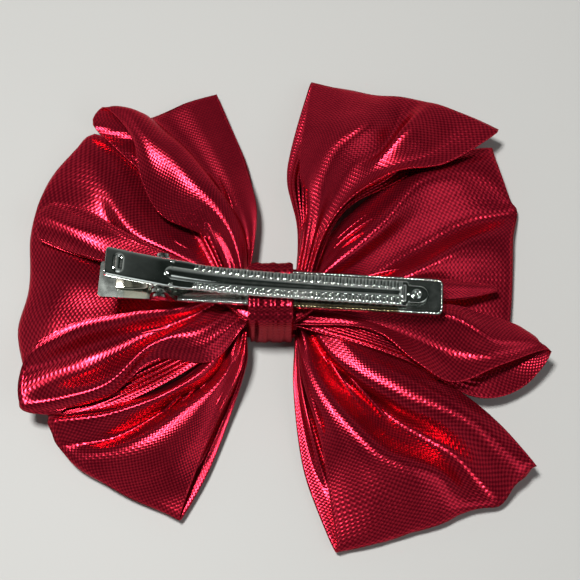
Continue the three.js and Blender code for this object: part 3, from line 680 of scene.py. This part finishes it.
def jaw_relief(x, y):
    """The stamping of the jaw: a long rib, two rows of teeth, a cross bar, dimples."""
    rib_half = 1.45 - 0.5 * smooth(-20, 25, x)
    end = np.sqrt(np.clip(1 - (np.clip(-21.6 - x, 0, 1.5) / 1.5) ** 2, 0, 1))
    fade = end * (1 - smooth(28.2, 29.2, x))
    rib = 0.55 * np.clip(1 - (np.abs(y) / np.maximum(rib_half * end, 1e-3)) ** 2.4, 0, 1) * fade
    phase = 2 * math.pi * (x - TEETH_FROM) / TOOTH_PITCH
    toothed = smooth(TEETH_FROM, TEETH_FROM + 0.4, x) * (1 - smooth(TEETH_TO, TEETH_TO + 0.3, x))
    tooth = np.clip(0.5 - 0.5 * np.cos(phase), 0, 1) ** 0.8
    inner_side = rib_half + 0.12 + 0.14 * np.cos(phase)
    row = smooth(inner_side, inner_side + 0.2, np.abs(y)) * (1 - smooth(2.72, 2.95, np.abs(y)))
    teeth = 0.42 * tooth * row * toothed
    trough = -0.12 * row * toothed
    bar = 0.3 * np.exp(-((x - BAR_X) / 0.28) ** 2) * (1 - smooth(1.6, 2.0, np.abs(y)))
    rivet_distance = np.hypot(x - RIVET_X, y)
    rivet = 0.22 * np.exp(-((rivet_distance - 0.75) / 0.25) ** 2)
    rivet = rivet - 0.12 * np.exp(-(rivet_distance / 0.5) ** 2)
    dot = 0.12 * np.exp(-(np.hypot(x - DOT_X, y + 0.1) / 0.25) ** 2)
    tab_distance = np.hypot(x - TAB_END - 2.6, np.maximum(np.abs(y) - 1.1, 0))
    tab_dimple = 0.20 * np.exp(-((tab_distance - 0.75) / 0.22) ** 2)
    tab_dimple = tab_dimple - 0.1 * np.exp(-(tab_distance / 0.5) ** 2)
    return rib + teeth + trough + bar + rivet + dot + tab_dimple


def jaw_stamping():
    """The upper jaw as one stamped sheet, with two ears that hang down to the pin."""
    stations = 640
    columns = 56
    sheet = 0.55
    line = spline(np.array([(x, 0, z) for x, z in JAW_LINE]), stations)
    slope = np.gradient(line, axis=0)
    slope /= np.linalg.norm(slope, axis=1, keepdims=True)
    up = np.stack([-slope[:, 2], np.zeros(stations), slope[:, 0]], axis=1)
    t = np.linspace(-1, 1, columns)
    y = jaw_half_width(line[:, 0])[:, None] * t
    x = line[:, :1] * np.ones_like(y)
    relief = jaw_relief(x, y)
    roll = -0.22 * np.abs(t)[None, :] ** 12 * np.ones_like(y)
    lift = SHEET + relief + roll
    top = line[:, None, :] + up[:, None, :] * lift[..., None]
    low = line[:, None, :] + up[:, None, :] * (lift - sheet)[..., None]
    for grid in (top, low):
        grid[..., 1] = y
    vertices, faces = plate_shell(top, low)
    for side in (1, -1):
        ear_vertices, ear_faces = ear_plate(EAR_FOOT, EAR_FOOT_Z, EAR_HEAD, side * EAR_Y)
        faces += [tuple(v + len(vertices) for v in face) for face in ear_faces]
        vertices += ear_vertices
    placed = [clip_point(*v) for v in vertices]
    obj = new_object("jaw_stamping", placed, faces, chrome)
    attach(obj, "jaw")
    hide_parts("upper_jaw")


def plate_shell(top, low):
    """Two grids of points as one closed plate."""
    rows, columns, _ = top.shape
    vertices = [tuple(v) for v in top.reshape(-1, 3)] + [tuple(v) for v in low.reshape(-1, 3)]
    size = rows * columns

    def at(layer, i, j):
        return layer * size + i * columns + j

    faces = []
    for i in range(rows - 1):
        for j in range(columns - 1):
            faces.append((at(0, i, j), at(0, i + 1, j), at(0, i + 1, j + 1), at(0, i, j + 1)))
            faces.append((at(1, i, j), at(1, i, j + 1), at(1, i + 1, j + 1), at(1, i + 1, j)))
        faces.append((at(0, i, 0), at(1, i, 0), at(1, i + 1, 0), at(0, i + 1, 0)))
        last = columns - 1
        faces.append((at(0, i, last), at(0, i + 1, last), at(1, i + 1, last), at(1, i, last)))
    for j in range(columns - 1):
        faces.append((at(0, 0, j), at(0, 0, j + 1), at(1, 0, j + 1), at(1, 0, j)))
        last = rows - 1
        faces.append((at(0, last, j), at(1, last, j), at(1, last, j + 1), at(0, last, j + 1)))
    return vertices, faces


def ear_plate(foot, foot_z, head, y):
    """An ear round the hinge pin: a ring that widens towards its foot, in X and Z."""
    hinge_z = HINGE.z - PLATE_TOP
    hole = 1.2
    half = 0.35
    rise = foot_z - hinge_z
    turns = 48
    points = []
    for k in range(turns):
        angle = 2 * math.pi * k / turns
        dx, dz = math.cos(angle), math.sin(angle)
        reach = head
        if dz * rise > 0:
            edge = foot[1] if dx > 0 else foot[0]
            # where the ray meets the sloping side, which runs from the head's flank to the foot
            flank = head if dx > 0 else -head
            lean = (edge - flank) / rise
            side_reach = flank / (dx - lean * dz) if abs(dx - lean * dz) > 1e-6 else 1e9
            foot_reach = rise / dz
            side_reach = side_reach if side_reach > 0 else 1e9
            reach = min(side_reach, foot_reach)
        points.append((dx, dz, reach))
    vertices = []
    for side in (1, -1):
        for dx, dz, reach in points:
            for radius in (hole, reach):
                vertices.append((HINGE_X + dx * radius, y + side * half, hinge_z + dz * radius))
    faces = []
    size = 2 * turns
    for k in range(turns):
        n = (k + 1) % turns
        a, b, c, d = 2 * k, 2 * k + 1, 2 * n + 1, 2 * n
        faces.append((a, d, c, b))
        faces.append((size + a, size + b, size + c, size + d))
        faces.append((b, c, size + c, size + b))
        faces.append((a, size + a, size + d, d))
    return vertices, faces


def plate_rim():
    """The coined rim of the base plate: a low bead with fine serrations."""
    inset = 0.32
    corner = 1.3 - inset
    x, y = PLATE_HALF_LENGTH - inset, PLATE_HALF_WIDTH - inset
    start = HINGE_X + 4.2
    path = [(start + k * (x - corner - start) / 40, -y) for k in range(41)]
    path += [(x - corner + corner * math.sin(a), -y + corner - corner * math.cos(a))
             for a in np.linspace(0.2, math.pi / 2, 6)]
    path += [(px, -py) for px, py in reversed(path)]
    line = spline(np.array([(px, py, 0.0) for px, py in path]), 700)
    tangent = np.gradient(line, axis=0)
    tangent /= np.linalg.norm(tangent, axis=1, keepdims=True)
    across = np.stack([-tangent[:, 1], tangent[:, 0], np.zeros(len(line))], axis=1)
    run = np.concatenate([[0], np.cumsum(np.linalg.norm(np.diff(line, axis=0), axis=1))])
    sides = 8
    vertices, faces = [], []
    for i, point in enumerate(line):
        radius = 0.17 + 0.05 * math.cos(2 * math.pi * run[i] / 0.85)
        step = -TIP_STEP if point[0] > TIP_FROM else 0.0
        for k in range(sides):
            angle = 2 * math.pi * k / sides
            v = point + across[i] * radius * math.cos(angle)
            vertices.append((v[0], v[1], step + 0.02 + radius * math.sin(angle)))
    for i in range(len(line) - 1):
        for k in range(sides):
            n = (k + 1) % sides
            faces.append((i * sides + k, i * sides + n, (i + 1) * sides + n, (i + 1) * sides + k))
    faces.append(tuple(range(sides - 1, -1, -1)))
    faces.append(tuple((len(line) - 1) * sides + k for k in range(sides)))
    obj = new_object("plate_rim", [clip_point(*v) for v in vertices], faces, plate_steel)
    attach(obj, "bow")


def bent_leaf():
    """The leaf spring, bent round in front of the pin."""
    middle = [(-34.2, 0, 0.35), (-30, 0, 0.8), (-27.3, 0, 1.7), (-26.4, 0, 3.2), (-27.4, 0, 4.8),
              (-30.2, 0, 6.6), (-33.4, 0, 8.4)]
    stations = 90
    columns = 13
    line = spline(np.array(middle), stations)
    slope = np.gradient(line, axis=0)
    slope /= np.linalg.norm(slope, axis=1, keepdims=True)
    up = np.stack([-slope[:, 2], np.zeros(stations), slope[:, 0]], axis=1)
    t = np.linspace(-1, 1, columns)
    half = 0.2 * np.sqrt(1.03 - t**2)
    top = line[:, None, :] + up[:, None, :] * half[None, :, None]
    low = line[:, None, :] - up[:, None, :] * half[None, :, None]
    for grid in (top, low):
        grid[..., 1] = 2.3 * t
    vertices, faces = plate_shell(top, low)
    obj = new_object("bent_leaf", [clip_point(*v) for v in vertices], faces, spring_steel)
    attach(obj, "bow")
    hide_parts("leaf_spring")
    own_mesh(obj)


jaw_stamping()
plate_rim()
bent_leaf()
CARRIED_OVER = [
    ("base_plate", plate_steel),
    ("hinge_pin", chrome),
    ("glue_bed", glue_material()),
    ("tie_thread", thread_material()),
]
for node, material in CARRIED_OVER:
    part = frame["nodes"][node]
    part.data.materials.clear()
    part.data.materials.append(material)
    if node in ("base_plate", "hinge_pin"):
        bevel = part.modifiers.new("edge", "BEVEL")
        bevel.width = 0.12 * MM
        bevel.segments = 2
        bevel.limit_method = "ANGLE"

# ------------------------------------------------------------------ floor, lights and camera

def table_top():
    material, _, _, shader = new_material("table")
    shader.inputs["Base Color"].default_value = (0.53, 0.53, 0.517, 1)
    shader.inputs["Roughness"].default_value = 0.55
    half = 2500
    corners = [(-half, -half, 0), (half, -half, 0), (half, half, 0), (-half, half, 0)]
    floor = new_object("table_top", corners, [(0, 1, 2, 3)], material, smooth=False)


def area_light(name, place, aim, size, power, color=(1, 1, 1)):
    light = bpy.data.lights.new(name, "AREA")
    light.shape = "RECTANGLE"
    light.size, light.size_y = size
    light.energy = power
    light.color = color
    obj = bpy.data.objects.new(name, light)
    bpy.context.scene.collection.objects.link(obj)
    obj.location = place
    obj.rotation_euler = (Vector(aim) - Vector(place)).to_track_quat("-Z", "Y").to_euler()


def make_camera():
    tilt = math.radians(20)
    distance = 0.300
    target = Vector((1.175, -0.465, 11.63)) * MM
    camera = bpy.data.objects.new("camera", bpy.data.cameras.new("camera"))
    bpy.context.scene.collection.objects.link(camera)
    camera.location = target + distance * Vector((0, -math.sin(tilt), math.cos(tilt)))
    camera.rotation_euler = (tilt, 0, 0)
    camera.data.lens = 82.6
    camera.data.sensor_width = 36
    bpy.context.scene.camera = camera


def room_light():
    """Soft light from the room: pale from the sides and dark from above."""
    world = bpy.data.worlds.new("room")
    bpy.context.scene.world = world
    world.use_nodes = True
    nodes, links = world.node_tree.nodes, world.node_tree.links
    direction = nodes.new("ShaderNodeTexCoord")
    split = nodes.new("ShaderNodeSeparateXYZ")
    links.new(direction.outputs["Generated"], split.inputs[0])
    pale, middle, dark = (0.75, 0.75, 0.73), (0.55, 0.57, 0.56), (0.035, 0.045, 0.04)
    color = color_ramp(nodes, links, split.outputs[2], [(0.0, pale), (0.45, middle), (0.8, dark)])
    links.new(color, nodes["Background"].inputs["Color"])
    nodes["Background"].inputs["Strength"].default_value = 0.38


table_top()
area_light("ceiling_lamp", (-0.17, 0.06, 0.74), (0, 0, 0), (0.13, 0.13), 6.0, (1.0, 0.99, 0.97))
area_light("soft_fill", (0.5, -0.35, 0.6), (0, 0, 0), (0.5, 0.5), 0.8, (0.96, 0.98, 1.0))
room_light()
make_camera()
bpy.context.scene.view_settings.view_transform = "Standard"
